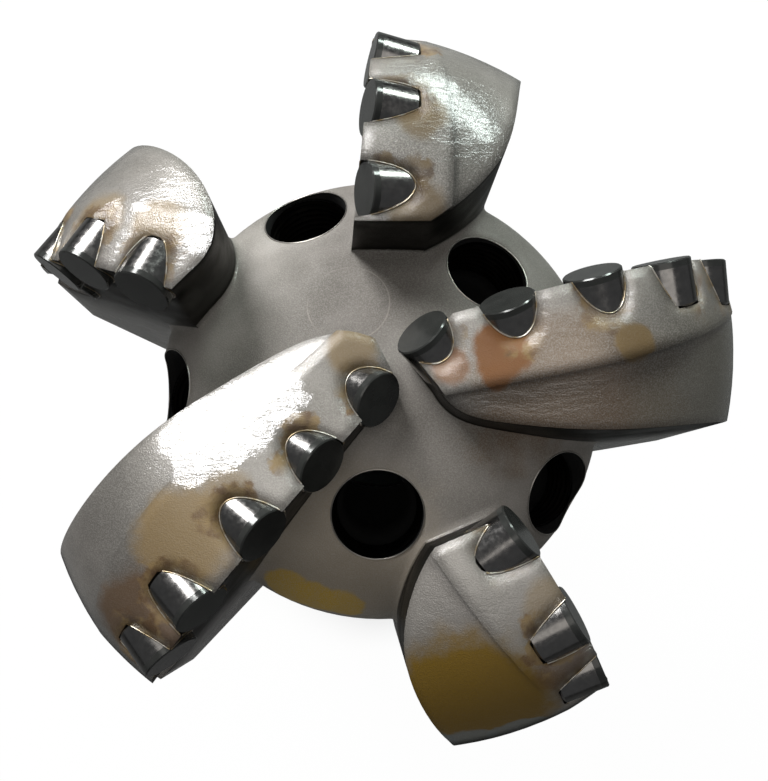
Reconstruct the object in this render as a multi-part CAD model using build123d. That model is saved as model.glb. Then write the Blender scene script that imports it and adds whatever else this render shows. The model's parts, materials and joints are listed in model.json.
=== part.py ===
from build123d import *
from math import atan
from math import cos
from math import degrees
from math import hypot
from math import radians
from math import sin
from math import sqrt
from math import tan
import os

# Fixed-cutter drill bit, steel body, five blades. Millimetres, +Z from the pin end up to the nose.
# The bit stands on its pin. It turns anticlockwise as seen from above the nose.

# ---- threaded pin and shank (one forging) ----
PIN_LENGTH = 107.95
PIN_END_RADIUS = 45.25
PIN_TAPER_RISE = 0.125
PIN_RELIEF = 9.5
PIN_CHAMFER = 2.0
SHOULDER_BEVEL = 4.0
SHANK_RADIUS = 73.0
SHANK_LENGTH = 72.0
WATER_BORE_RADIUS = 28.5
BREAKER_SLOT_HEIGHT = 44.0
BREAKER_ACROSS = 120.0
SPIGOT_RADIUS = 50.0
SPIGOT_LENGTH = 18.0
WELD_DEPTH = 6.0
WELD_CROWNING = 1.2

# ---- crown ----
GAUGE_RADIUS = 107.95
SKIRT_HEIGHT = 92.0
NOSE_RADIUS = 55.95
NOSE_HEIGHT = 35.1
CONE_ANGLE = 8.1
LAND_DEPTH = 4.0
PAD_UNDERCUT = 0.75
PAD_TOP_DROP = 6.0
PAD_LENGTH = 50.0
SKIRT_FOOT = 4.0
HUB_TOP = 11.0
HUB_DOME_RADIUS = 90.0
HUB_RADIUS = 71.0
HUB_CORNER = 16.0
HUB_FLARE_TOP = 22.0
HUB_FLARE_FOOT = 12.0
FRONT_DRAFT = 2.0
ROOT_FILLET = 1.8
PLENUM_RADIUS = 31.0
PLENUM_TOP_DROP = 38.0

# ---- stock that the blades are cut from ----
STOCK_REACH = 130.0
STOCK_AHEAD = 45.0
NOSE_REACH = 25.0
CUT_SIZE = 400.0
RELIEF_DEPTH = 90.0
RELIEF_HEIGHT = 70.0

# ---- cutters ----
CUTTER_DIAMETER = 16.0
CUTTER_LENGTH = 13.0
TABLE_THICKNESS = 2.0
BRAZE_GAP = 0.1
POCKET_MOUTH = 10.0
TRIMMER_RAKE = 15.7
TRIMMER_LAG = 0.6

# ---- gauge inserts ----
INSERT_RADIUS = 5.5
INSERT_DEPTH = 9.0
INSERT_PITCH = 18.0
INSERT_ROWS = 2
INSERT_DROP = 14.0
INSERT_LAG = 12.0

# ---- nozzle ports ----
PORT_RADIUS = 13.3
PORT_DEPTH = 30.0
PORT_MOUTH = 25.0
PASSAGE_RADIUS = 11.0
PASSAGE_LENGTH = 30.0

SHANK_TOP = PIN_LENGTH + SHANK_LENGTH
GAUGE_Z = SHANK_TOP + SKIRT_HEIGHT
PAD_RADIUS = GAUGE_RADIUS - PAD_UNDERCUT
PAD_TOP = GAUGE_Z - PAD_TOP_DROP

# Each blade: angle of its leading gauge corner, distances of the relief hinge behind that radial
# line at the axis and at the gauge, relief angle, the leading edge's corners from the gauge inwards,
# then the inner end and the trailing side back out to the gauge. Corners are (along, behind).
BLADES = {
    "a": (234.0, (3.0, 19.0), 22.0, [(107.0, 3.0), (0.5, -4.5)],
          [(-5.0, 6.5), (-0.5, 16.0), (20.5, 29.0), (49.0, 39.5), (91.5, 45.5)]),
    "b": (18.0, (-2.0, 8.0), 22.0, [(107.0, -1.5), (22.0, -7.8), (8.5, -0.5)],
          [(12.0, 9.0), (15.5, 16.5), (27.0, 24.0), (52.0, 34.0), (92.0, 42.5)]),
    "c": (90.0, (6.0, 9.0), 17.0, [(107.0, -1.5), (39.0, -8.0)],
          [(39.0, 12.5), (50.0, 26.0), (60.5, 33.5), (78.5, 39.0), (92.0, 42.5)]),
    "d": (162.0, (12.0, 12.0), 17.0, [(107.0, 2.5), (59.0, 1.5)],
          [(54.5, 10.5), (53.5, 18.5), (60.5, 31.0), (74.0, 40.0), (92.0, 44.0)]),
    "e": (306.0, (7.0, 9.0), 17.0, [(107.0, 0.5), (50.5, -3.5)],
          [(45.5, 17.5), (52.5, 30.0), (61.5, 38.5), (74.0, 43.5), (92.0, 44.5)]),
}
# Gauge radius that the tables are laid out for, and the radius outside which their cutters keep
# their distance from the gauge when it changes.
LAYOUT = {"gauge": 107.95, "shoulder": 85.0}
# Each cutter: tip radius in that layout, its angle about the bit axis, how far its face is swung
# in plan, and its back rake.
CUTTERS = {
    "a": [(6.5, 231.0, 0, 34), (29.5, 231.4, 0, 29), (53.5, 231.8, 0, 23),
          (81.0, 231.6, 0, 19), (100.5, 232.2, 0, 17)],
    "b": [(13.6, 28.4, 13, 33), (36.2, 23.0, -3, 30), (61.8, 21.7, -2, 24),
          (85.5, 20.0, 0, 17), (103.0, 18.8, 0, 16)],
    "c": [(47.6, 93.2, 0, 20), (75.0, 91.6, 0, 18), (98.0, 90.8, 0, 16)],
    "d": [(68.9, 160.6, 0, 19), (90.8, 160.0, 0, 17), (106.2, 160.6, 0, 17)],
    "e": [(55.4, 307.0, 0, 18), (84.5, 306.0, 0, 17), (102.4, 305.6, 0, 16)],
}
# Gauge trimmer under each blade's last cutter: how far its tip is below the gauge tangent.
TRIMMERS = {"a": 6.0, "b": 7.6, "c": 4.0, "d": 12.0, "e": 8.0}
# Each port: radius and angle of its mouth's centre, and how far it leans outwards.
PORTS = {
    "one": (39.0, 268.0, 8.0),
    "two": (47.0, 46.5, 14.0),
    "three": (60.0, 113.5, 22.0),
    "four": (68.0, 180.0, 30.0),
    "five": (64.0, 329.5, 26.0),
}


def arc_height(radius, centre, span, rise):
    """Height over the gauge tangent of a nose arc, run on inwards as a straight cone."""
    meet = atan(span * tan(radians(CONE_ANGLE)) / rise)
    start = centre - span * sin(meet)
    if radius < start:
        return rise * cos(meet) - (start - radius) * tan(radians(CONE_ANGLE))
    return rise * sqrt(max(0.0, 1.0 - ((radius - centre) / span) ** 2))


def laid_out(radius):
    """A layout radius moved with the gauge: wholly outside the shoulder, in proportion inside."""
    return radius + (GAUGE_RADIUS - LAYOUT["gauge"]) * min(1.0, radius / LAYOUT["shoulder"])


def tip_height(radius):
    return GAUGE_Z + arc_height(radius, NOSE_RADIUS, GAUGE_RADIUS - NOSE_RADIUS, NOSE_HEIGHT)


def tip_slope(radius):
    """Angle of the cutting profile's normal from +Z, outwards, in radians."""
    step = 0.01
    fall = tip_height(radius - step) - tip_height(radius + step)
    return atan(fall / (2 * step))


# ---- envelope of the blade tops ----
LAND_RISE = NOSE_HEIGHT - LAND_DEPTH + PAD_TOP_DROP
LAND_SPAN = PAD_RADIUS - NOSE_RADIUS
meet_angle = atan(LAND_SPAN * tan(radians(CONE_ANGLE)) / LAND_RISE)
cone_edge = NOSE_RADIUS - LAND_SPAN * sin(meet_angle)
cone_top = PAD_TOP + LAND_RISE * cos(meet_angle)
nose_arc = EllipticalCenterArc(
    (NOSE_RADIUS, PAD_TOP), LAND_SPAN, LAND_RISE, start_angle=0, arc_size=90 + degrees(meet_angle)
)
SKIRT_EDGE = PAD_TOP - PAD_LENGTH
side = Polyline(
    (cone_edge, cone_top),
    (0, cone_top - cone_edge * tan(radians(CONE_ANGLE))),
    (0, SHANK_TOP),
    (SHANK_RADIUS, SHANK_TOP),
    (SHANK_RADIUS, SHANK_TOP + SKIRT_FOOT),
    (PAD_RADIUS, SKIRT_EDGE),
    (PAD_RADIUS, PAD_TOP),
)
envelope = revolve(Plane.XZ * make_face([nose_arc, side]), Axis.Z)

# ---- hub: dome over a plain cylinder ----
dome_drop = HUB_DOME_RADIUS - sqrt(HUB_DOME_RADIUS**2 - HUB_RADIUS**2)
dome_edge = GAUGE_Z + HUB_TOP - dome_drop
dome_mid = HUB_RADIUS / 2
dome_mid_drop = HUB_DOME_RADIUS - sqrt(HUB_DOME_RADIUS**2 - dome_mid**2)
dome = ThreePointArc(
    (0, GAUGE_Z + HUB_TOP),
    (dome_mid, GAUGE_Z + HUB_TOP - dome_mid_drop),
    (HUB_RADIUS, dome_edge),
)
hub_side = Polyline(
    (HUB_RADIUS, dome_edge),
    (HUB_RADIUS, SHANK_TOP + HUB_FLARE_TOP),
    (SHANK_RADIUS, SHANK_TOP + HUB_FLARE_FOOT),
    (SHANK_RADIUS, SHANK_TOP),
    (0, SHANK_TOP),
    (0, GAUGE_Z + HUB_TOP),
)
hub_face = make_face([dome, hub_side])
hub_corner = hub_face.vertices().sort_by_distance((HUB_RADIUS, dome_edge, 0))[0]
hub_face = fillet(hub_corner, HUB_CORNER)
hub = revolve(Plane.XZ * hub_face, Axis.Z)


def local(angle, along, behind, z):
    turn = radians(angle)
    return Vector(
        along * cos(turn) + behind * sin(turn),
        along * sin(turn) - behind * cos(turn),
        z,
    )


def blade_solid(angle, hinge_behind, relief, front, rear):
    """One blade: plan outline stood up, cut to the envelope, front drafted, rear relieved."""
    nose, heel = front[-1], rear[0]
    stretch = NOSE_REACH / hypot(nose[0] - heel[0], nose[1] - heel[1])
    reach = (nose[0] + stretch * (nose[0] - heel[0]), nose[1] + stretch * (nose[1] - heel[1]))
    tail = Spline(*[local(angle, u, v, 0) for u, v in rear])
    ends = [rear[-1], (STOCK_REACH, rear[-1][1]), (STOCK_REACH, -STOCK_AHEAD), reach, heel]
    edge = Polyline(*[local(angle, u, v, 0) for u, v in ends])
    plan = make_face([tail, edge])
    body = Pos(0, 0, SHANK_TOP) * extrude(plan, NOSE_HEIGHT + SKIRT_HEIGHT, dir=(0, 0, 1))
    body = body & envelope
    top = GAUGE_Z + NOSE_HEIGHT - LAND_DEPTH
    lean = radians(FRONT_DRAFT)
    for outer, inner in zip(front, front[1:]):
        start = local(angle, *inner, top)
        end = local(angle, *outer, top)
        run = (end - start).normalized()
        ahead = Vector(-run.Y, run.X, 0)
        wall = Plane(origin=start, x_dir=run, z_dir=ahead * cos(lean) + Vector(0, 0, sin(lean)))
        body = body - wall * Box(CUT_SIZE, CUT_SIZE, CUT_SIZE, align=(Align.CENTER, Align.CENTER, Align.MIN))
    start = local(angle, 0, hinge_behind[0], PAD_TOP)
    end = local(angle, GAUGE_RADIUS, hinge_behind[1], PAD_TOP)
    run = (end - start).normalized()
    block = Box(CUT_SIZE, RELIEF_DEPTH, RELIEF_HEIGHT, align=(Align.CENTER, Align.MAX, Align.MIN))
    block = Plane(origin=start, x_dir=run, z_dir=(0, 0, 1)) * block - envelope
    return body - block.rotate(Axis(start, run), relief)


blades = {name: blade_solid(*spec) for name, spec in BLADES.items()}
crown = hub
for blade in blades.values():
    crown = crown + blade


# ---- blend where the blade walls stand on the hub ----
def is_hub(face):
    """True for a face of the hub itself: its dome, its corner or its cylinder."""
    if face.geom_type in (GeomType.SPHERE, GeomType.TORUS):
        return True
    point = face.position_at(0.5, 0.5)
    return face.geom_type == GeomType.CYLINDER and abs(hypot(point.X, point.Y) - HUB_RADIUS) < 0.05


hub_edges = [edge for face in crown.faces() if is_hub(face) for edge in face.edges()]
root_edges = [
    edge
    for edge in hub_edges
    if hub_edges.count(edge) == 1 and edge.position_at(0.5).Z > SHANK_TOP + HUB_FLARE_TOP + 1
]
crown = fillet(root_edges, ROOT_FILLET)


# ---- cutters and their pockets ----
def cutter_plane(radius, angle, swing, rake, drop=0.0):
    """Plane at the centre of a cutter's face, z out of the face, x along its outward side."""
    turn = radians(angle)
    out = Vector(cos(turn), sin(turn), 0)
    forward = Vector(-sin(turn), cos(turn), 0)
    slope = tip_slope(radius) if drop == 0 else radians(90)
    normal = out * sin(slope) + Vector(0, 0, cos(slope))
    tip_z = GAUGE_Z - drop if drop else tip_height(radius)
    tip = out * radius + Vector(0, 0, tip_z)
    swung = forward * cos(radians(swing)) - out * sin(radians(swing))
    facing = swung * cos(radians(rake)) + normal * sin(radians(rake))
    up = normal * cos(radians(rake)) - swung * sin(radians(rake))
    centre = tip - up * (CUTTER_DIAMETER / 2)
    return Plane(origin=centre, x_dir=up, z_dir=facing)


CUTTER_RADIUS = CUTTER_DIAMETER / 2
face_down = (Align.CENTER, Align.CENTER, Align.MAX)
face_up = (Align.CENTER, Align.CENTER, Align.MIN)
seats = {}
for name, rows in CUTTERS.items():
    places = [cutter_plane(laid_out(row[0]), *row[1:]) for row in rows]
    trim_angle = rows[-1][1] - TRIMMER_LAG
    places.append(cutter_plane(GAUGE_RADIUS, trim_angle, 0, TRIMMER_RAKE, TRIMMERS[name]))
    for number, place in enumerate(places, start=1):
        seats[name + str(number)] = place

pockets = []
for place in seats.values():
    pocket = Cylinder(CUTTER_RADIUS + BRAZE_GAP, CUTTER_LENGTH + BRAZE_GAP, align=face_down)
    mouth = Cylinder(CUTTER_RADIUS + BRAZE_GAP, POCKET_MOUTH, align=face_up)
    pockets.append(place * (pocket + mouth))
for pocket in pockets:
    crown = crown - pocket

# ---- ports, plenum and the counterbore for the shank's spigot ----
plenum_top = GAUGE_Z - PLENUM_TOP_DROP
plenum_height = plenum_top - SHANK_TOP - PLENUM_RADIUS
plenum = Pos(0, 0, SHANK_TOP) * Cylinder(PLENUM_RADIUS, plenum_height, align=face_up)
plenum = plenum + Pos(0, 0, SHANK_TOP + plenum_height) * Sphere(PLENUM_RADIUS)
crown = crown - plenum
crown = crown - Pos(0, 0, SHANK_TOP) * Cylinder(SPIGOT_RADIUS, SPIGOT_LENGTH, align=face_up)
for radius, angle, lean in PORTS.values():
    turn = radians(angle)
    out = Vector(cos(turn), sin(turn), 0)
    depth = HUB_DOME_RADIUS - sqrt(HUB_DOME_RADIUS**2 - min(radius, HUB_RADIUS) ** 2)
    mouth = out * radius + Vector(0, 0, GAUGE_Z + HUB_TOP - depth)
    axis = out * sin(radians(lean)) + Vector(0, 0, cos(radians(lean)))
    place = Plane(origin=mouth, x_dir=Vector(-sin(turn), cos(turn), 0), z_dir=axis)
    seat = Pos(0, 0, -PORT_DEPTH) * Cylinder(PORT_RADIUS, PORT_DEPTH + PORT_MOUTH, align=face_up)
    passage = Pos(0, 0, -PORT_DEPTH) * Cylinder(PASSAGE_RADIUS, PASSAGE_LENGTH, align=face_down)
    crown = crown - place * (seat + passage)

# ---- gauge inserts ----
inserts = {}
for name, spec in BLADES.items():
    turn = radians(spec[0] - INSERT_LAG)
    out = Vector(cos(turn), sin(turn), 0)
    group = []
    for row in range(INSERT_ROWS):
        height = PAD_TOP - INSERT_DROP - row * INSERT_PITCH
        place = Plane(origin=out * PAD_RADIUS + Vector(0, 0, height), z_dir=out)
        group.append(place * Cylinder(INSERT_RADIUS, INSERT_DEPTH, align=face_down))
    for insert in group:
        crown = crown - insert
    inserts[name] = Compound(children=group)

# ---- shank: tapered pin, bevelled shoulder, breaker slots, spigot ----
pin_top_radius = PIN_END_RADIUS + PIN_LENGTH * PIN_TAPER_RISE
shank_face = make_face(
    Polyline(
        (WATER_BORE_RADIUS, 0),
        (PIN_END_RADIUS - PIN_CHAMFER, 0),
        (PIN_END_RADIUS + PIN_CHAMFER * PIN_TAPER_RISE, PIN_CHAMFER),
        (pin_top_radius - PIN_RELIEF * PIN_TAPER_RISE, PIN_LENGTH - PIN_RELIEF),
        (pin_top_radius, PIN_LENGTH - PIN_RELIEF),
        (pin_top_radius, PIN_LENGTH),
        (SHANK_RADIUS - SHOULDER_BEVEL, PIN_LENGTH),
        (SHANK_RADIUS, PIN_LENGTH + SHOULDER_BEVEL),
        (SHANK_RADIUS, SHANK_TOP),
        (SPIGOT_RADIUS, SHANK_TOP),
        (SPIGOT_RADIUS, SHANK_TOP + SPIGOT_LENGTH),
        (WATER_BORE_RADIUS, SHANK_TOP + SPIGOT_LENGTH),
        close=True,
    )
)
shank = revolve(Plane.XZ * shank_face, Axis.Z)
slot_low = PIN_LENGTH + SHANK_LENGTH / 2 - BREAKER_SLOT_HEIGHT / 2
slot = Box(SHANK_RADIUS, 2 * SHANK_RADIUS, BREAKER_SLOT_HEIGHT, align=(Align.MIN, Align.CENTER, Align.MIN))
slot = Pos(BREAKER_ACROSS / 2, 0, slot_low) * slot
shank = shank - slot - slot.rotate(Axis.Z, 180)

# ---- weld between shank and crown ----
weld_face = make_face(
    [
        Polyline(
            (SHANK_RADIUS, SHANK_TOP - WELD_DEPTH),
            (SHANK_RADIUS - WELD_DEPTH, SHANK_TOP),
            (SHANK_RADIUS, SHANK_TOP + WELD_DEPTH),
        ),
        ThreePointArc(
            (SHANK_RADIUS, SHANK_TOP + WELD_DEPTH),
            (SHANK_RADIUS + WELD_CROWNING, SHANK_TOP),
            (SHANK_RADIUS, SHANK_TOP - WELD_DEPTH),
        ),
    ]
)
weld = revolve(Plane.XZ * weld_face, Axis.Z)
shank = shank - weld
crown = crown - weld

os.makedirs("parts", exist_ok=True)
export_step(crown, "parts/crown.step")
export_step(shank, "parts/shank.step")
export_step(weld, "parts/crown_weld.step")
for name, group in inserts.items():
    export_step(group, "parts/gauge_inserts_" + name + ".step")
for name, place in seats.items():
    barrel = Cylinder(CUTTER_RADIUS, CUTTER_LENGTH - TABLE_THICKNESS, align=face_down)
    export_step(place * Pos(0, 0, -TABLE_THICKNESS) * barrel, "parts/cutter_" + name + "_carbide.step")
    table = Cylinder(CUTTER_RADIUS, TABLE_THICKNESS, align=face_down)
    export_step(place * table, "parts/cutter_" + name + "_diamond.step")
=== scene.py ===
"""A five-blade fixed-cutter drill bit with a machined steel body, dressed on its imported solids."""

import bpy
import json
import math
import numpy as np
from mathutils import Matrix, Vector
from mathutils.bvhtree import BVHTree


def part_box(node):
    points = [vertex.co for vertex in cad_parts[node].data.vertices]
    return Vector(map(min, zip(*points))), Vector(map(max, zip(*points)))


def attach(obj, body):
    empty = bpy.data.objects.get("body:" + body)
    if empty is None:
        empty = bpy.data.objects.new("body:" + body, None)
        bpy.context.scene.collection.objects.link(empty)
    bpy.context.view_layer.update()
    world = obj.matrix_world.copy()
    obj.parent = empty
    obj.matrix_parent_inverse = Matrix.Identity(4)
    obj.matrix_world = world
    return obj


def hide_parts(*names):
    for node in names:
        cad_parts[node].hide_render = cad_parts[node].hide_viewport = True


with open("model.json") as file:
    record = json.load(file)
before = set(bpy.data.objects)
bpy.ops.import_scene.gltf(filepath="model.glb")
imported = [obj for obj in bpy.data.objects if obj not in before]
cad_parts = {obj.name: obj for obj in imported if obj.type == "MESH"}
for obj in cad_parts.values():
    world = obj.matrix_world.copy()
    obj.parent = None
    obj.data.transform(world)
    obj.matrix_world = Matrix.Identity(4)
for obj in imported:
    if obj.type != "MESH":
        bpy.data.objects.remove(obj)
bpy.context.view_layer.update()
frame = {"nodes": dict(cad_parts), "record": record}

# ---------------------------------------------------------------------------------------------
# Crown: one piece of machined steel, sand blasted and then oiled. Brazing flux has burnt tan and
# brown round every cutter. The walls and the bores of the empty nozzle ports carry painted shade.
# ---------------------------------------------------------------------------------------------
MM = 0.001
crown = frame["nodes"]["crown"]
mounts = {m["name"]: m for m in frame["record"]["mounts"]}
cutter_names = sorted(n[7:-8] for n in frame["nodes"] if n.startswith("cutter_") and n.endswith("_carbide"))


def node_centre(name):
    """Mean of a node's lowest and highest corners."""
    low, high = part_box(name)
    return (np.array(low) + np.array(high)) / 2


def cutter_seat(name):
    """Face centre and outward unit axis of a cutter, from where its two pieces lie."""
    table = node_centre("cutter_" + name + "_diamond")
    barrel = node_centre("cutter_" + name + "_carbide")
    axis = (table - barrel) / np.linalg.norm(table - barrel)
    return table + axis * 1.0 * MM, axis


seats = {name: cutter_seat(name) for name in cutter_names}


def shader_tree(name):
    """A new material with its node tree and its Principled shader."""
    material = bpy.data.materials.new(name)
    material.use_nodes = True
    tree = material.node_tree
    return material, tree, tree.nodes["Principled BSDF"]


def put(tree, kind, **values):
    """A node of one kind; values set its properties, or its inputs where a name is given as in_N."""
    node = tree.nodes.new(kind)
    for key, value in values.items():
        if key.startswith("in_"):
            node.inputs[int(key[3:])].default_value = value
        else:
            setattr(node, key, value)
    return node


def maths(tree, operation, first, second=None, clamp=False):
    """A Math node; each input is a socket or a number."""
    node = put(tree, "ShaderNodeMath", operation=operation, use_clamp=clamp)
    for slot, value in enumerate((first, second)):
        if value is None:
            continue
        if isinstance(value, (int, float)):
            node.inputs[slot].default_value = value
        else:
            tree.links.new(value, node.inputs[slot])
    return node.outputs[0]


def band(tree, value, low, high, out_low=0.0, out_high=1.0):
    """Map a socket's range low..high smoothly onto out_low..out_high."""
    node = put(tree, "ShaderNodeMapRange", interpolation_type="SMOOTHSTEP")
    tree.links.new(value, node.inputs["Value"])
    node.inputs["From Min"].default_value = low
    node.inputs["From Max"].default_value = high
    node.inputs["To Min"].default_value = out_low
    node.inputs["To Max"].default_value = out_high
    return node.outputs["Result"]


def blend_colour(tree, amount, first, second, blend="MIX"):
    """Mix two colours by a socket; each colour is a socket or a triple."""
    node = put(tree, "ShaderNodeMix", data_type="RGBA", blend_type=blend)
    tree.links.new(amount, node.inputs["Factor"])
    for label, value in (("A", first), ("B", second)):
        slot = [s for s in node.inputs if s.name == label and s.type == "RGBA"][0]
        if isinstance(value, tuple):
            slot.default_value = (*value, 1.0)
        else:
            tree.links.new(value, slot)
    return [s for s in node.outputs if s.type == "RGBA"][0]


def blend_normal(tree, amount, first, second):
    """Turn one shading normal, a socket, towards another, a triple, by a socket."""
    node = put(tree, "ShaderNodeMix", data_type="VECTOR")
    tree.links.new(amount, node.inputs["Factor"])
    tree.links.new(first, [s for s in node.inputs if s.name == "A" and s.type == "VECTOR"][0])
    [s for s in node.inputs if s.name == "B" and s.type == "VECTOR"][0].default_value = second
    return [s for s in node.outputs if s.type == "VECTOR"][0]


def cloud(tree, coords, scale, detail=3.0, rough=0.5):
    """Noise height on Object coordinates; scale is in cells a metre."""
    node = put(tree, "ShaderNodeTexNoise")
    tree.links.new(coords, node.inputs["Vector"])
    node.inputs["Scale"].default_value = scale
    node.inputs["Detail"].default_value = detail
    node.inputs["Roughness"].default_value = rough
    return node.outputs["Fac"]


def near_point(tree, coords, point):
    """Distance from a point, in metres."""
    node = put(tree, "ShaderNodeVectorMath", operation="DISTANCE")
    tree.links.new(coords, node.inputs[0])
    node.inputs[1].default_value = tuple(float(c) for c in point)
    return node.outputs["Value"]


def span(tree, value, low, high):
    """1 where a socket lies between two limits, else 0."""
    above = maths(tree, "GREATER_THAN", value, low)
    return maths(tree, "MULTIPLY", above, maths(tree, "LESS_THAN", value, high))


STEEL_DARK = (0.150, 0.138, 0.122)
STEEL_PALE = (0.235, 0.218, 0.198)
# A darker and a lighter steel tone, laid on as painted shade and painted light.
SHADE_PAINTED_STEEL = (0.085, 0.078, 0.070)
LIGHT_PAINTED_STEEL = (0.330, 0.275, 0.200)
FLUX_TAN = (0.200, 0.134, 0.056)
FLUX_BROWN = (0.095, 0.052, 0.022)
# Painted reflections of a yellow object, in the oil film and on the uncoated hub.
YELLOW_REFLECTION_IN_OIL = (0.150, 0.086, 0.002)
YELLOW_REFLECTION_ON_HUB = (0.420, 0.270, 0.030)
SLATE = (0.150, 0.165, 0.165)
UMBER = (0.120, 0.072, 0.034)
OLIVE = (0.120, 0.108, 0.080)
ORANGE = (0.165, 0.068, 0.020)
# Burnt flux, rust and oil, and some painted shade, painted light and painted reflection: centre in
# millimetres, radius, width of the soft edge, colour, strength.
STAINS_AND_PAINTED_LIGHT = [
    # The next two lines are painted shade on two blades.
    ((-66, 34, 300), 20, 9, SHADE_PAINTED_STEEL, 0.40),
    ((-62, -45, 296), 26, 12, SHADE_PAINTED_STEEL, 0.35),
    # Painted light: a lighter, warm patch on the lower hub.
    ((-12, -50, 265), 28, 18, LIGHT_PAINTED_STEEL, 0.60),
    ((52, -14, 296), 30, 10, UMBER, 0.85),
    ((90, -4, 290), 24, 12, OLIVE, 0.65),
    ((-51, -44, 301), 13, 5, FLUX_TAN, 0.80),
    ((-62, -66, 292), 15, 5, FLUX_BROWN, 0.80),
    ((-40, -34, 303), 7, 3, FLUX_TAN, 0.55),
    ((-9, 5, 298), 7, 3, FLUX_TAN, 0.75),
    ((10, 69, 302), 7, 3, FLUX_TAN, 0.80),
    ((9, 42, 302), 8, 3, FLUX_TAN, 0.80),
    ((-78, 41, 294), 9, 4, FLUX_TAN, 0.60),
    ((-60, 38, 301), 8, 4, FLUX_TAN, 0.60),
    ((31, 4, 300), 8, 2, ORANGE, 0.95),
    ((30, -3, 299), 4, 1.5, ORANGE, 0.90),
    ((66, 6, 302), 5.5, 1.5, FLUX_TAN, 0.85),
    ((18, 0, 298), 5, 2, ORANGE, 0.75),
    # The next line is a painted reflection of a yellow object in the oil film.
    ((24, -87, 285), 23, 9, YELLOW_REFLECTION_IN_OIL, 0.95),
    ((12, -102, 272), 9, 1.5, SLATE, 0.85),
    ((24, -101, 272), 9, 1.5, SLATE, 0.85),
    ((37, -97, 273), 9, 1.5, SLATE, 0.85),
    ((42, -61, 301), 7, 3, FLUX_TAN, 0.55),
    ((46, -77, 293), 8, 4, FLUX_BROWN, 0.70),
    # The next three lines are a painted reflection of the same yellow object on the hub.
    ((-28, -61, 253), 8, 1.5, YELLOW_REFLECTION_ON_HUB, 0.90),
    ((-20, -63, 253), 7, 1.5, YELLOW_REFLECTION_ON_HUB, 0.90),
    ((-12, -65, 253), 7, 1.5, YELLOW_REFLECTION_ON_HUB, 0.90),
]

crown_steel, tree, shader = shader_tree("crown_steel_blasted")
coords = put(tree, "ShaderNodeTexCoord")
place = coords.outputs["Object"]
parts = put(tree, "ShaderNodeSeparateXYZ")
tree.links.new(place, parts.inputs[0])
square = maths(tree, "ADD", maths(tree, "POWER", maths(tree, "ABSOLUTE", parts.outputs["X"]), 2.0),
               maths(tree, "POWER", maths(tree, "ABSOLUTE", parts.outputs["Y"]), 2.0))
from_axis = maths(tree, "SQRT", square)
facing = put(tree, "ShaderNodeSeparateXYZ")
tree.links.new(coords.outputs["Normal"], facing.inputs[0])

# The hub is what lies inside its dome and its cylinder; walls are steep faces outside the hub, and they
# carry painted shade, strongest towards the top.
in_dome = maths(tree, "LESS_THAN", near_point(tree, place, (0.0, 0.0, 192.95 * MM)), 90.9 * MM)
hub = maths(tree, "MULTIPLY", in_dome, maths(tree, "LESS_THAN", from_axis, 71.6 * MM))
steep = band(tree, facing.outputs["Z"], 0.30, 0.55, 1.0, 0.0)
wall_shade = maths(tree, "MULTIPLY", steep, maths(tree, "SUBTRACT", 1.0, hub))
wall_shade = maths(tree, "MULTIPLY", wall_shade, maths(tree, "LESS_THAN", from_axis, 105.5 * MM))
wall_shade = maths(tree, "MULTIPLY", wall_shade, band(tree, parts.outputs["Z"], 225.0 * MM, 270.0 * MM, 0.25, 1.0))

mottle = band(tree, cloud(tree, place, 38.0, 4.0), 0.35, 0.68)
grain = cloud(tree, place, 2600.0, 2.0)
base = blend_colour(tree, mottle, STEEL_DARK, STEEL_PALE)
warp = maths(tree, "SUBTRACT", cloud(tree, place, 120.0, 4.0, 0.6), 0.5)
dull = None
for centre, radius, edge, colour, strength in STAINS_AND_PAINTED_LIGHT:
    reach = near_point(tree, place, [c * MM for c in centre])
    reach = maths(tree, "ADD", reach, maths(tree, "MULTIPLY", warp, (0.5 * radius + 2.0) * MM))
    mask = band(tree, reach, (radius - 0.6 * edge) * MM, (radius + 0.6 * edge) * MM, strength, 0.0)
    base = blend_colour(tree, mask, base, colour)
    if colour in (FLUX_TAN, FLUX_BROWN, ORANGE, YELLOW_REFLECTION_IN_OIL):
        dull = mask if dull is None else maths(tree, "MAXIMUM", dull, mask)

# Flux has also burnt patchily round the middle of every barrel.
stain = None
for name, (face, axis) in seats.items():
    reach = near_point(tree, place, face - axis * 10.0 * MM)
    stain = reach if stain is None else maths(tree, "MINIMUM", stain, reach)
stain = maths(tree, "ADD", stain, maths(tree, "MULTIPLY", warp, 0.016))
flux = band(tree, stain, 0.0098, 0.0116, 0.85, 0.0)
patchy = band(tree, cloud(tree, place, 55.0, 3.0), 0.38, 0.60)
flux = maths(tree, "MULTIPLY", flux, maths(tree, "MULTIPLY", patchy, maths(tree, "SUBTRACT", 1.0, hub)))
scorch = band(tree, cloud(tree, place, 260.0, 3.0), 0.4, 0.65)
base = blend_colour(tree, flux, base, blend_colour(tree, scorch, FLUX_TAN, FLUX_BROWN))
dull = maths(tree, "MAXIMUM", dull, flux)

# Painted shade darkens two of the blades and the hub: centre, radius, strength.
PAINTED_SHADE_PATCHES = [
    ((12, 56, 303), 33, 0.68),
    ((72, 8, 301), 17, 0.55),
    ((15, 30, 280), 50, 0.22),
]
for centre, radius, amount in PAINTED_SHADE_PATCHES:
    reach = near_point(tree, place, [c * MM for c in centre])
    mask = band(tree, reach, (radius - 9) * MM, (radius + 3) * MM, amount, 0.0)
    base = blend_colour(tree, mask, base, (0.25, 0.24, 0.22), "MULTIPLY")
speck = band(tree, grain, 0.35, 0.75, 0.0, 0.32)
speck = maths(tree, "MULTIPLY", speck, maths(tree, "SUBTRACT", 1.0, dull))
base = blend_colour(tree, speck, base, (0.40, 0.38, 0.35))
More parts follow.
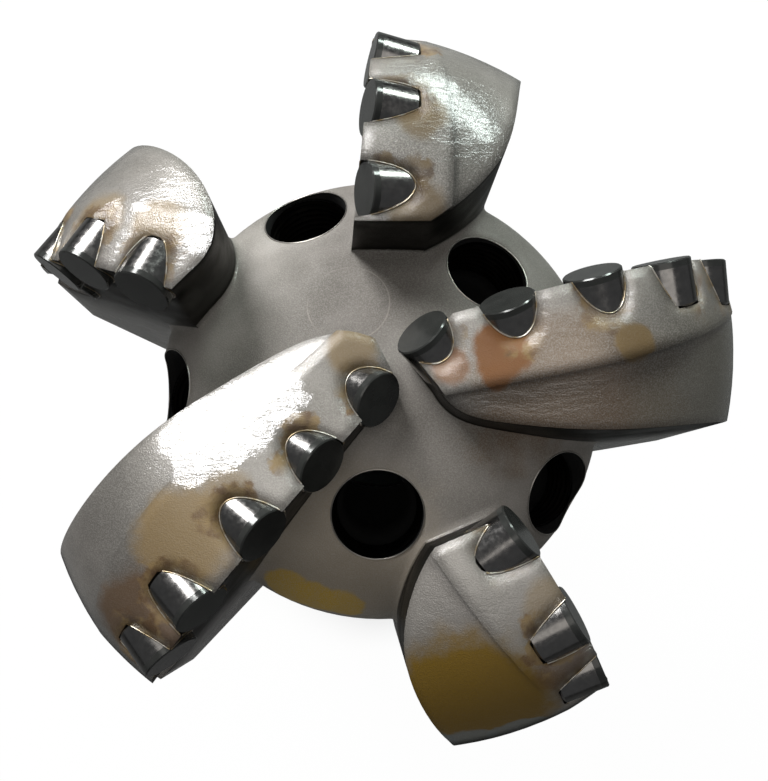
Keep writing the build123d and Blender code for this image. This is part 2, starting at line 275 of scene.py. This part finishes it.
# Painted shade: the walls are darkened to near black.
base = blend_colour(tree, maths(tree, "MULTIPLY", wall_shade, 0.92), base, (0.012, 0.012, 0.010))

# A turned centring ring shows faintly on the hub.
ring = near_point(tree, place, (-9.9 * MM, 21.8 * MM, 279.4 * MM))
ring = maths(tree, "MULTIPLY", span(tree, ring, 11.8 * MM, 12.2 * MM), hub)
ring = maths(tree, "MULTIPLY", ring, maths(tree, "MULTIPLY", patchy, 0.5))
base = blend_colour(tree, ring, base, (0.32, 0.29, 0.26))

# Painted shade fills every port: black on what lies within the bore's radius of the port's own axis.
PORT_NAMES = ("one", "two", "three", "four", "five")
bore_shade = None
for port in PORT_NAMES:
    mount = mounts["nozzle_port_" + port]
    shift = put(tree, "ShaderNodeVectorMath", operation="SUBTRACT", in_1=tuple(mount["pos_m"]))
    tree.links.new(place, shift.inputs[0])
    across = put(tree, "ShaderNodeVectorMath", operation="CROSS_PRODUCT", in_1=tuple(mount["axis"]))
    tree.links.new(shift.outputs[0], across.inputs[0])
    length = put(tree, "ShaderNodeVectorMath", operation="LENGTH")
    tree.links.new(across.outputs[0], length.inputs[0])
    inside = maths(tree, "LESS_THAN", length.outputs["Value"], 13.4 * MM)
    bore_shade = inside if bore_shade is None else maths(tree, "MAXIMUM", bore_shade, inside)
base = blend_colour(tree, bore_shade, base, (0.003, 0.003, 0.003))
tree.links.new(base, shader.inputs["Base Color"])

# Burnt places, the painted yellow reflection and the painted shade in the bores hide the metal; the hub is
# duller than the blades; the walls keep their painted shade dark.
covered = maths(tree, "MAXIMUM", maths(tree, "MULTIPLY", dull, 0.9), bore_shade)
metal = maths(tree, "SUBTRACT", 0.45, maths(tree, "MULTIPLY", hub, 0.25))
metal = maths(tree, "MULTIPLY", maths(tree, "SUBTRACT", 1.0, covered), metal)
metal = maths(tree, "MAXIMUM", metal, wall_shade)
tree.links.new(metal, shader.inputs["Metallic"])
sheen = maths(tree, "SUBTRACT", 0.5, maths(tree, "MULTIPLY", dull, 0.38))
tree.links.new(sheen, shader.inputs["Specular IOR Level"])
rough = band(tree, cloud(tree, place, 90.0, 3.0), 0.3, 0.7, 0.42, 0.56)
rough = maths(tree, "ADD", rough, maths(tree, "MULTIPLY", hub, 0.15))
rough = maths(tree, "ADD", rough, maths(tree, "MULTIPLY", bore_shade, 0.4))
tree.links.new(rough, shader.inputs["Roughness"])
bare = maths(tree, "MAXIMUM", maths(tree, "MAXIMUM", hub, bore_shade), wall_shade)
soaked = maths(tree, "MULTIPLY", dull, 0.75)
oil = maths(tree, "SUBTRACT", maths(tree, "SUBTRACT", 1.0, bare), soaked, clamp=True)
tree.links.new(oil, shader.inputs["Coat Weight"])
shader.inputs["Coat IOR"].default_value = 1.7
smear = band(tree, cloud(tree, place, 160.0, 3.0), 0.35, 0.65, 0.08, 0.18)
tree.links.new(smear, shader.inputs["Coat Roughness"])

# Worn edges are rounded in the shading, and the hub's dome is dressed flatter by hand grinding.
soften = put(tree, "ShaderNodeBevel", samples=6)
soften.inputs["Radius"].default_value = 5.0 * MM
dressed = maths(tree, "MULTIPLY", hub, band(tree, from_axis, 50.0 * MM, 70.0 * MM, 0.70, 0.0))
flattened = blend_normal(tree, dressed, soften.outputs["Normal"], (0.0, 0.0, 1.0))
bump = put(tree, "ShaderNodeBump")
bump.inputs["Strength"].default_value = 0.30
bump.inputs["Distance"].default_value = 0.0004
tree.links.new(grain, bump.inputs["Height"])
tree.links.new(flattened, bump.inputs["Normal"])
tree.links.new(bump.outputs["Normal"], shader.inputs["Normal"])

# The oil film is wiped one way, so its streaks are four times as long as they are wide.
wiped = put(tree, "ShaderNodeMapping")
wiped.inputs["Rotation"].default_value = (0.0, 0.0, -0.75)
wiped.inputs["Scale"].default_value = (0.25, 1.0, 0.7)
tree.links.new(place, wiped.inputs["Vector"])
streaks = band(tree, cloud(tree, wiped.outputs[0], 420.0, 4.0, 0.6), 0.42, 0.62)
film = put(tree, "ShaderNodeBump")
film.inputs["Strength"].default_value = 0.30
film.inputs["Distance"].default_value = 0.0003
tree.links.new(maths(tree, "ADD", streaks, grain), film.inputs["Height"])
# Oil has run flat across the ridge of the first blade and lies in pools on the third and fourth.
# Each pool: centre in millimetres, radius, and the way its surface faces.
POOLS = [
    ((-28, -7, 299), 8, (-0.16, 0.33, 0.93)),
    ((-37, -13, 299), 12, (-0.16, 0.33, 0.93)),
    ((-46, -18, 299), 13, (-0.16, 0.33, 0.93)),
    ((-50, -27, 302), 6, (-0.16, 0.33, 0.93)),
    ((-47, 34, 303), 5, (-0.15, 0.24, 0.96)),
    ((-52, 38, 303), 4, (-0.15, 0.24, 0.96)),
    ((-75, 42, 296), 4.5, (-0.10, 0.24, 0.97)),
    ((-66, 44, 299), 2.5, (-0.10, 0.24, 0.97)),
    ((12, 80, 299), 4, (0.17, 0.28, 0.94)),
    ((17, 77, 299), 5, (0.17, 0.28, 0.94)),
    ((22, 72, 298), 5, (0.17, 0.28, 0.94)),
    ((27, 67, 298), 4.5, (0.17, 0.28, 0.94)),
]
POOL_EDGE = 1.5
POOL_WANDER = 12.0 * MM
level = flattened
for centre, radius, way in POOLS:
    reach = near_point(tree, place, [c * MM for c in centre])
    reach = maths(tree, "ADD", reach, maths(tree, "MULTIPLY", warp, POOL_WANDER))
    mask = band(tree, reach, (radius - POOL_EDGE) * MM, (radius + POOL_EDGE) * MM, 0.85, 0.0)
    level = blend_normal(tree, mask, level, way)
tree.links.new(level, film.inputs["Normal"])
tree.links.new(film.outputs["Normal"], shader.inputs["Coat Normal"])

crown.data.materials.clear()
crown.data.materials.append(crown_steel)

# ---------------------------------------------------------------------------------------------
# Cutters: a ground tungsten carbide barrel under a lapped black diamond table, each brazed into
# its pocket. Each is lathed with the small chamfer that the real edge has.
# ---------------------------------------------------------------------------------------------
CUTTER_RADIUS = 8.0 * MM
CUTTER_LENGTH = 13.0 * MM
TABLE_THICKNESS = 2.0 * MM
EDGE_CHAMFER = 0.35 * MM
CUTTER_SIDES = 72


def add_mesh(name, points, faces, material, smooth=None):
    """A piece on the root body from an array of points and an array or list of faces."""
    mesh = bpy.data.meshes.new(name)
    mesh.from_pydata(np.asarray(points).reshape(-1, 3).tolist(), [], faces)
    mesh.materials.append(material)
    mesh.update()
    piece = bpy.data.objects.new(name, mesh)
    bpy.context.scene.collection.objects.link(piece)
    if smooth is not None:
        mesh.shade_smooth()
        mesh.set_sharp_from_angle(angle=math.radians(smooth))
    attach(piece, "root")
    return piece


def lathed(profile, origin, axis, sides):
    """Turn (radius, height) pairs about an axis: point = origin + axis * h + r * (cos a, sin a).

    The first and last pairs lie on the axis and are kept as single closing points."""
    axis = np.asarray(axis, float)
    side = np.cross(axis, (0.0, 0.0, 1.0)) if abs(axis[2]) < 0.9 else np.cross(axis, (1.0, 0.0, 0.0))
    side = side / np.linalg.norm(side)
    other = np.cross(axis, side)
    angle = np.linspace(0, 2 * np.pi, sides, endpoint=False)
    ring = np.cos(angle)[:, None] * side + np.sin(angle)[:, None] * other
    middle = np.asarray(profile[1:-1], float)
    walls = middle[:, 0][:, None, None] * ring[None] + middle[:, 1][:, None, None] * axis
    points = np.concatenate([walls.reshape(-1, 3), [axis * profile[0][1]], [axis * profile[-1][1]]]) + origin
    rows = len(middle)
    row, col = np.meshgrid(np.arange(rows - 1), np.arange(sides), indexing="ij")
    here, after = row * sides + col, row * sides + (col + 1) % sides
    quads = np.stack([here, after, after + sides, here + sides], -1).reshape(-1, 4).tolist()
    first, last = rows * sides, rows * sides + 1
    quads += [(first, (k + 1) % sides, k) for k in range(sides)]
    top = (rows - 1) * sides
    quads += [(last, top + k, top + (k + 1) % sides) for k in range(sides)]
    return points, quads


carbide, tree, shader = shader_tree("carbide_ground")
place = put(tree, "ShaderNodeTexCoord").outputs["Object"]
tone = blend_colour(tree, cloud(tree, place, 420.0, 3.0), (0.16, 0.155, 0.15), (0.28, 0.27, 0.26))
tree.links.new(tone, shader.inputs["Base Color"])
shader.inputs["Metallic"].default_value = 1.0
tree.links.new(band(tree, cloud(tree, place, 900.0, 2.0), 0.3, 0.7, 0.16, 0.26), shader.inputs["Roughness"])

diamond, tree, shader = shader_tree("diamond_lapped")
place = put(tree, "ShaderNodeTexCoord").outputs["Object"]
tone = blend_colour(tree, cloud(tree, place, 260.0, 2.0), (0.022, 0.023, 0.022), (0.050, 0.051, 0.048))
tree.links.new(tone, shader.inputs["Base Color"])
shader.inputs["Metallic"].default_value = 0.4
tree.links.new(band(tree, cloud(tree, place, 1200.0, 2.0), 0.3, 0.7, 0.12, 0.22), shader.inputs["Roughness"])

for name, (face, axis) in seats.items():
    table_profile = [
        (0, 0), (CUTTER_RADIUS - EDGE_CHAMFER, 0), (CUTTER_RADIUS, -EDGE_CHAMFER),
        (CUTTER_RADIUS, -TABLE_THICKNESS), (0, -TABLE_THICKNESS),
    ]
    points, faces = lathed(table_profile[::-1], face, axis, CUTTER_SIDES)
    table = add_mesh("table_" + name, points, faces, diamond, 30)
    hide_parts("cutter_" + name + "_diamond")
    barrel_profile = [
        (0, -TABLE_THICKNESS), (CUTTER_RADIUS, -TABLE_THICKNESS),
        (CUTTER_RADIUS, -CUTTER_LENGTH + 2 * EDGE_CHAMFER),
        (CUTTER_RADIUS - 2 * EDGE_CHAMFER, -CUTTER_LENGTH), (0, -CUTTER_LENGTH),
    ]
    points, faces = lathed(barrel_profile[::-1], face, axis, CUTTER_SIDES)
    barrel = add_mesh("barrel_" + name, points, faces, carbide, 30)
    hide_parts("cutter_" + name + "_carbide")

# ---------------------------------------------------------------------------------------------
# Braze: the joint's silver-bronze metal stands as a thin bright bead where each barrel leaves the
# blade. It is found by looking back along the barrel until the crown's steel is met.
# ---------------------------------------------------------------------------------------------
BEAD_RADIUS = 0.20 * MM
braze, tree, shader = shader_tree("braze_bead")
place = put(tree, "ShaderNodeTexCoord").outputs["Object"]
tarnish = band(tree, cloud(tree, place, 300.0, 3.0), 0.4, 0.6)
tone = blend_colour(tree, tarnish, (0.42, 0.40, 0.36), (0.26, 0.20, 0.12))
tree.links.new(tone, shader.inputs["Base Color"])
shader.inputs["Metallic"].default_value = 0.9
shader.inputs["Roughness"].default_value = 0.28


def tube(path, radius, sides=8):
    """Round bar along a path: ring k sits square to the path's tangent at point k, ends closed."""
    path = np.asarray(path, float)
    tangent = np.gradient(path, axis=0)
    tangent /= np.linalg.norm(tangent, axis=1)[:, None]
    guide = np.where(np.abs(tangent[:, 2:3]) < 0.9, [[0.0, 0.0, 1.0]], [[1.0, 0.0, 0.0]])
    side = np.cross(tangent, guide)
    side /= np.linalg.norm(side, axis=1)[:, None]
    other = np.cross(tangent, side)
    angle = np.linspace(0, 2 * np.pi, sides, endpoint=False)
    radius = np.broadcast_to(np.asarray(radius, float), (len(path),))
    ring = np.cos(angle)[None, :, None] * side[:, None] + np.sin(angle)[None, :, None] * other[:, None]
    points = path[:, None] + radius[:, None, None] * ring
    rows = len(path)
    row, col = np.meshgrid(np.arange(rows - 1), np.arange(sides), indexing="ij")
    here, after = row * sides + col, row * sides + (col + 1) % sides
    quads = np.stack([here, after, after + sides, here + sides], -1).reshape(-1, 4).tolist()
    quads.append(tuple(range(sides))[::-1])
    quads.append(tuple(range((rows - 1) * sides, rows * sides)))
    return points.reshape(-1, 3), quads


crown_tree = BVHTree.FromPolygons(
    [v.co.copy() for v in crown.data.vertices], [tuple(p.vertices) for p in crown.data.polygons]
)
for name, (face, axis) in seats.items():
    side = np.cross(axis, (0.0, 0.0, 1.0))
    side /= np.linalg.norm(side)
    other = np.cross(side, axis)
    runs, run = [], []
    for angle in np.radians(np.arange(-150, 151, 4)):
        out = math.sin(angle) * side + math.cos(angle) * other
        start = face + axis * 1.5 * MM + out * (CUTTER_RADIUS + 0.18 * MM)
        hit = crown_tree.ray_cast(Vector(start), Vector(-axis), CUTTER_LENGTH + 1.5 * MM)
        if hit[0] is None:
            where = face - axis * CUTTER_LENGTH + out * (CUTTER_RADIUS + 0.18 * MM)
        else:
            where = np.array(hit[0])
        depth = float(np.dot(face - where, axis))
        if depth > -0.5 * MM and depth < CUTTER_LENGTH - 0.3 * MM:
            run.append(where)
        elif run:
            runs.append(run)
            run = []
    if run:
        runs.append(run)
    for number, run in enumerate(r for r in runs if len(r) > 3):
        points, faces = tube(run, BEAD_RADIUS)
        add_mesh("braze_" + name + "_" + str(number), points, faces, braze, 60)

# ---------------------------------------------------------------------------------------------
# Gauge inserts: flush carbide buttons pressed into the gauge pads, ground with the pads.
# ---------------------------------------------------------------------------------------------
for letter in "abcde":
    buttons = frame["nodes"]["gauge_inserts_" + letter]
    buttons.data.materials.clear()
    buttons.data.materials.append(carbide)

# ---------------------------------------------------------------------------------------------
# Nozzle ports: plain bores with a screwed length for the jet nozzles, which are not fitted. The
# edge of each mouth is broken with a file and shines.
# ---------------------------------------------------------------------------------------------
PORT_RADIUS = 13.3 * MM
PORT_PITCH = 2.5 * MM
PORT_THREAD_DEPTH = 0.9 * MM


def thread_form(turns):
    """Height 0..1 of a truncated V thread: 1 on the crest, 0 in the root, straight flanks between."""
    phase = np.abs((turns % 1.0) - 0.5) * 2.0
    return np.clip((phase - 0.2) / 0.6, 0.0, 1.0)


def ring_grid(points):
    """Quads over rows of points that close on themselves both along a row and from last to first."""
    rows, sides = points.shape[:2]
    row, col = np.meshgrid(np.arange(rows), np.arange(sides), indexing="ij")
    here, side = row * sides + col, row * sides + (col + 1) % sides
    over, corner = (row + 1) % rows * sides + col, (row + 1) % rows * sides + (col + 1) % sides
    return np.stack([here, side, corner, over], -1).reshape(-1, 4).tolist()


burr, tree, shader = shader_tree("port_edge_filed")
place = put(tree, "ShaderNodeTexCoord").outputs["Object"]
tone = blend_colour(tree, cloud(tree, place, 500.0, 3.0), (0.30, 0.28, 0.25), (0.55, 0.52, 0.48))
tree.links.new(tone, shader.inputs["Base Color"])
shader.inputs["Metallic"].default_value = 0.9
shader.inputs["Roughness"].default_value = 0.30

# The screwed lengths are painted near-black as the shade deep in the bores.
thread_shade, tree, shader = shader_tree("port_thread_painted_shade")
place = put(tree, "ShaderNodeTexCoord").outputs["Object"]
tone = blend_colour(tree, cloud(tree, place, 300.0, 3.0), (0.002, 0.002, 0.002), (0.007, 0.006, 0.005))
tree.links.new(tone, shader.inputs["Base Color"])
shader.inputs["Metallic"].default_value = 1.0
shader.inputs["Roughness"].default_value = 0.6


def wall_reach(centre, axis, ring, limit):
    """Greatest height along the axis up to which the crown's steel stands all round the bore."""
    top = None
    for height in np.arange(-14.0, 18.0, 0.5) * MM:
        spot = Vector(centre + height * axis)
        hits = [crown_tree.ray_cast(spot, Vector(way), limit)[0] for way in ring[::4]]
        if any(hit is None for hit in hits):
            break
        top = height
    return top


for port in PORT_NAMES:
    mount = mounts["nozzle_port_" + port]
    axis = np.array(mount["axis"])
    middle = np.array(mount["pos_m"])
    side = np.cross(axis, (0.0, 0.0, 1.0))
    side /= np.linalg.norm(side)
    other = np.cross(axis, side)
    angle = np.linspace(0, 2 * np.pi, 97)[:-1]
    ring = np.cos(angle)[:, None] * side + np.sin(angle)[:, None] * other
    # The edge is where a line just outside the bore, run down along its axis, meets the steel.
    tops = []
    for way in ring:
        start = middle + (PORT_RADIUS + 0.12 * MM) * way + 36.0 * MM * axis
        tops.append(crown_tree.ray_cast(Vector(start), Vector(-axis), 60.0 * MM)[0] or Vector(start))
    edge = np.array([tuple(t) for t in tops])
    bead = np.linspace(0, 2 * np.pi, 9)[:-1]
    outward = ring[:, None] * np.cos(bead)[None, :, None] + axis * np.sin(bead)[None, :, None]
    lip = (edge[:, None] + 0.22 * MM * outward).transpose(1, 0, 2)
    add_mesh("port_edge_" + port, lip, ring_grid(lip), burr, 60)
    # Screwed length: r = bore radius - depth * thread_form(h / pitch - angle / 2 pi).
    low = -0.5 * mount["dims"]["length_mm"] * MM + 3.0 * MM
    high = wall_reach(middle, axis, ring, PORT_RADIUS + 0.3 * MM) - 1.0 * MM
    height = np.linspace(low, high, 73)
    fade = np.clip(np.minimum(height - low, high - height) / PORT_PITCH, 0.0, 1.0)
    form = thread_form(height[:, None] / PORT_PITCH - angle[None] / (2 * np.pi))
    radius = PORT_RADIUS - PORT_THREAD_DEPTH * form * fade[:, None]
    inner = middle + radius[..., None] * ring[None] + height[:, None, None] * axis
    back = middle + (PORT_RADIUS + 0.2 * MM) * ring[None] + height[[-1, 0], None, None] * axis
    sleeve = np.concatenate([inner, back])
    add_mesh("port_thread_" + port, sleeve, ring_grid(sleeve), thread_shade, 40)

# ---------------------------------------------------------------------------------------------
# Shank: turned from one forging, with a tapered rotary-shouldered pin and two milled slots for
# the bit breaker. It is one polar surface, closed through the bore: radius over angle and height.
# ---------------------------------------------------------------------------------------------
PIN_LENGTH = 107.95 * MM
PIN_END_RADIUS = 45.25 * MM
PIN_TAPER = 0.125
PIN_RELIEF = 9.5 * MM
THREAD_PITCH = 5.08 * MM
THREAD_DEPTH = 2.9 * MM
SHANK_RADIUS = 73.0 * MM
SHANK_TOP = 179.95 * MM
SPIGOT_RADIUS = 50.0 * MM
SPIGOT_TOP = 197.95 * MM
BORE_RADIUS = 28.5 * MM
FLAT_REACH = 60.0 * MM
FLAT_LOW, FLAT_HIGH = 121.95 * MM, 165.95 * MM
WELD_HALF = 6.0 * MM

shank_steel, tree, shader = shader_tree("shank_steel_turned")
place = put(tree, "ShaderNodeTexCoord").outputs["Object"]
squash = put(tree, "ShaderNodeVectorMath", operation="MULTIPLY", in_1=(0.12, 0.12, 1.0))
tree.links.new(place, squash.inputs[0])
turning = cloud(tree, squash.outputs[0], 2400.0, 2.0)
patches = band(tree, cloud(tree, place, 45.0, 4.0), 0.35, 0.65)
tone = blend_colour(tree, patches, (0.15, 0.138, 0.125), (0.26, 0.245, 0.225))
tree.links.new(tone, shader.inputs["Base Color"])
shader.inputs["Metallic"].default_value = 0.85
tree.links.new(band(tree, cloud(tree, place, 300.0, 3.0), 0.3, 0.7, 0.28, 0.42), shader.inputs["Roughness"])
bump = put(tree, "ShaderNodeBump")
bump.inputs["Strength"].default_value = 0.20
bump.inputs["Distance"].default_value = 0.0003
tree.links.new(turning, bump.inputs["Height"])
tree.links.new(bump.outputs["Normal"], shader.inputs["Normal"])

corner = math.acos(FLAT_REACH / SHANK_RADIUS)
angle = np.unique(np.concatenate([
    np.linspace(0, 2 * np.pi, 145)[:-1], [corner, math.pi - corner, math.pi + corner, 2 * math.pi - corner],
]))
flat = np.minimum(SHANK_RADIUS, FLAT_REACH / np.maximum(np.abs(np.cos(angle)), 0.01))
whole = np.ones_like(angle)
pin_top = PIN_END_RADIUS + PIN_LENGTH * PIN_TAPER
thread_top = PIN_LENGTH - PIN_RELIEF
thread_z = np.linspace(2.0 * MM, thread_top, 306)
cone = PIN_END_RADIUS + thread_z * PIN_TAPER
# The thread's depth fades in over 5 mm at the pin's end and out over 6 mm under its relief.
fade_in = np.clip((thread_z - 3.0 * MM) / (5.0 * MM), 0, 1)
fade_out = np.clip((thread_top - 1.0 * MM - thread_z) / (6.0 * MM), 0, 1)
fade = fade_in * fade_out
groove = 1.0 - thread_form(thread_z[:, None] / THREAD_PITCH - angle[None] / (2 * np.pi))
threaded = cone[:, None] - THREAD_DEPTH * fade[:, None] * groove
rows = [(BORE_RADIUS * whole, 0.0), ((PIN_END_RADIUS - 2.0 * MM) * whole, 0.0)]
rows += list(zip(threaded, thread_z))
rows += [
    (pin_top * whole, PIN_LENGTH - PIN_RELIEF),
    (pin_top * whole, PIN_LENGTH),
    ((SHANK_RADIUS - 4.0 * MM) * whole, PIN_LENGTH),
    (SHANK_RADIUS * whole, PIN_LENGTH + 4.0 * MM),
    (SHANK_RADIUS * whole, FLAT_LOW),
    (flat, FLAT_LOW),
    (flat, FLAT_HIGH),
    (SHANK_RADIUS * whole, FLAT_HIGH),
    (SHANK_RADIUS * whole, SHANK_TOP - WELD_HALF),
    ((SHANK_RADIUS - WELD_HALF) * whole, SHANK_TOP),
    (SPIGOT_RADIUS * whole, SHANK_TOP),
    (SPIGOT_RADIUS * whole, SPIGOT_TOP),
    (BORE_RADIUS * whole, SPIGOT_TOP),
]
wrap = np.stack([np.stack([r * np.cos(angle), r * np.sin(angle), z + 0 * angle], -1) for r, z in rows])
shank = add_mesh("shank_turned", wrap, ring_grid(wrap), shank_steel, 35)
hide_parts("shank")

# ---------------------------------------------------------------------------------------------
# Weld: crown and shank are joined by one band of submerged-arc weld, left as laid, so its surface
# is a low arch with the even ripples of the last pass.
# ---------------------------------------------------------------------------------------------
weld_steel, tree, shader = shader_tree("weld_steel_bare")
place = put(tree, "ShaderNodeTexCoord").outputs["Object"]
heat = band(tree, cloud(tree, place, 120.0, 4.0), 0.35, 0.65)
tone = blend_colour(tree, heat, (0.10, 0.095, 0.095), (0.24, 0.22, 0.20))
tree.links.new(tone, shader.inputs["Base Color"])
shader.inputs["Metallic"].default_value = 0.8
shader.inputs["Roughness"].default_value = 0.42

# r = shank radius + crowning * (1 - t^2) + ripple * sin(count * angle + 9 * t^2), t = -1..1 over the bead.
angle = np.linspace(0, 2 * np.pi, 721)[:-1]
t = np.linspace(-1, 1, 15)
arch = 1.0 - t**2
ripple = np.sin(150 * angle[None] + 9.0 * t[:, None] ** 2)
radius = SHANK_RADIUS + (0.95 * arch[:, None] + 0.22 * arch[:, None] * ripple) * MM
height = SHANK_TOP + WELD_HALF * t
outer = np.stack([radius * np.cos(angle), radius * np.sin(angle), height[:, None] + 0 * angle], -1)
root = (SHANK_RADIUS - WELD_HALF) * np.stack([np.cos(angle), np.sin(angle)], -1)
root = np.concatenate([root, np.full((len(angle), 1), SHANK_TOP)], 1)[None]
band_of_weld = np.concatenate([outer, root])
weld = add_mesh("weld_bead", band_of_weld, ring_grid(band_of_weld), weld_steel, 60)
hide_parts("crown_weld")

# ---------------------------------------------------------------------------------------------
# Stage: a white floor and backdrop, soft lamps and a camera over the nose of the bit.
# ---------------------------------------------------------------------------------------------
world = bpy.data.worlds.new("studio")
bpy.context.scene.world = world
world.use_nodes = True
wtree = world.node_tree
background = wtree.nodes["Background"]
background.inputs["Color"].default_value = (0.62, 0.64, 0.66, 1.0)
background.inputs["Strength"].default_value = 0.22
white = put(wtree, "ShaderNodeBackground")
white.inputs["Color"].default_value = (1.0, 1.0, 1.0, 1.0)
white.inputs["Strength"].default_value = 1.0
ray = put(wtree, "ShaderNodeLightPath")
choose = put(wtree, "ShaderNodeMixShader")
wtree.links.new(ray.outputs["Is Camera Ray"], choose.inputs[0])
wtree.links.new(background.outputs[0], choose.inputs[1])
wtree.links.new(white.outputs[0], choose.inputs[2])
wtree.links.new(choose.outputs[0], wtree.nodes["World Output"].inputs["Surface"])

bpy.ops.mesh.primitive_plane_add(size=6.0, location=(0, 0, -0.0005))
floor = bpy.context.object
floor.name = "floor"
floor_paint, tree, shader = shader_tree("floor_white")
ray = put(tree, "ShaderNodeLightPath")
paint = blend_colour(tree, ray.outputs["Is Glossy Ray"], (0.90, 0.90, 0.90), (0.10, 0.10, 0.10))
tree.links.new(paint, shader.inputs["Base Color"])
shader.inputs["Roughness"].default_value = 0.9
glow = put(tree, "ShaderNodeEmission")
glow.inputs["Color"].default_value = (1.0, 1.0, 1.0, 1.0)
glow.inputs["Strength"].default_value = 1.0
choose = put(tree, "ShaderNodeMixShader")
coords = put(tree, "ShaderNodeTexCoord").outputs["Object"]
beyond = band(tree, near_point(tree, coords, (0, 0, 0)), 0.044, 0.118, 0.0, 0.98)
share = maths(tree, "MULTIPLY", ray.outputs["Is Camera Ray"], beyond)
tree.links.new(share, choose.inputs[0])
tree.links.new(shader.outputs[0], choose.inputs[1])
tree.links.new(glow.outputs[0], choose.inputs[2])
tree.links.new(choose.outputs[0], tree.nodes["Material Output"].inputs["Surface"])
floor.data.materials.append(floor_paint)


def lamp(name, aim, direction, distance, width, height, watts, tint=(1.0, 1.0, 1.0)):
    """A soft box that looks at a point from a direction."""
    data = bpy.data.lights.new(name, "AREA")
    data.shape = "RECTANGLE"
    data.size, data.size_y = width, height
    data.energy = watts
    data.color = tint
    light = bpy.data.objects.new(name, data)
    direction = Vector(direction).normalized()
    light.location = Vector(aim) + direction * distance
    light.rotation_euler = (-direction).to_track_quat("-Z", "Y").to_euler()
    bpy.context.scene.collection.objects.link(light)
    return light


aim = (0.0, 0.0, 0.28)
lamp("window_left", aim, (-0.42, 0.68, 0.60), 1.1, 0.42, 0.50, 19)
lamp("window_right", aim, (0.34, 0.83, 0.43), 1.1, 0.48, 0.18, 8, (0.88, 1.0, 0.95))
lamp("ceiling", aim, (0.0, -0.05, 1.0), 1.4, 1.3, 1.3, 6, (1.0, 0.96, 0.91))

camera_data = bpy.data.cameras.new("camera")
camera_data.sensor_width = 36.0
camera_data.lens = 900.0 * 36.0 / 781.0
camera = bpy.data.objects.new("camera", camera_data)
camera.location = (-0.005535, -0.040165, 0.533057)
camera.rotation_euler = [math.radians(a) for a in (8.18475, -1.31559, -0.14721)]
bpy.context.scene.collection.objects.link(camera)
bpy.context.scene.camera = camera
bpy.context.scene.view_settings.view_transform = "Standard"
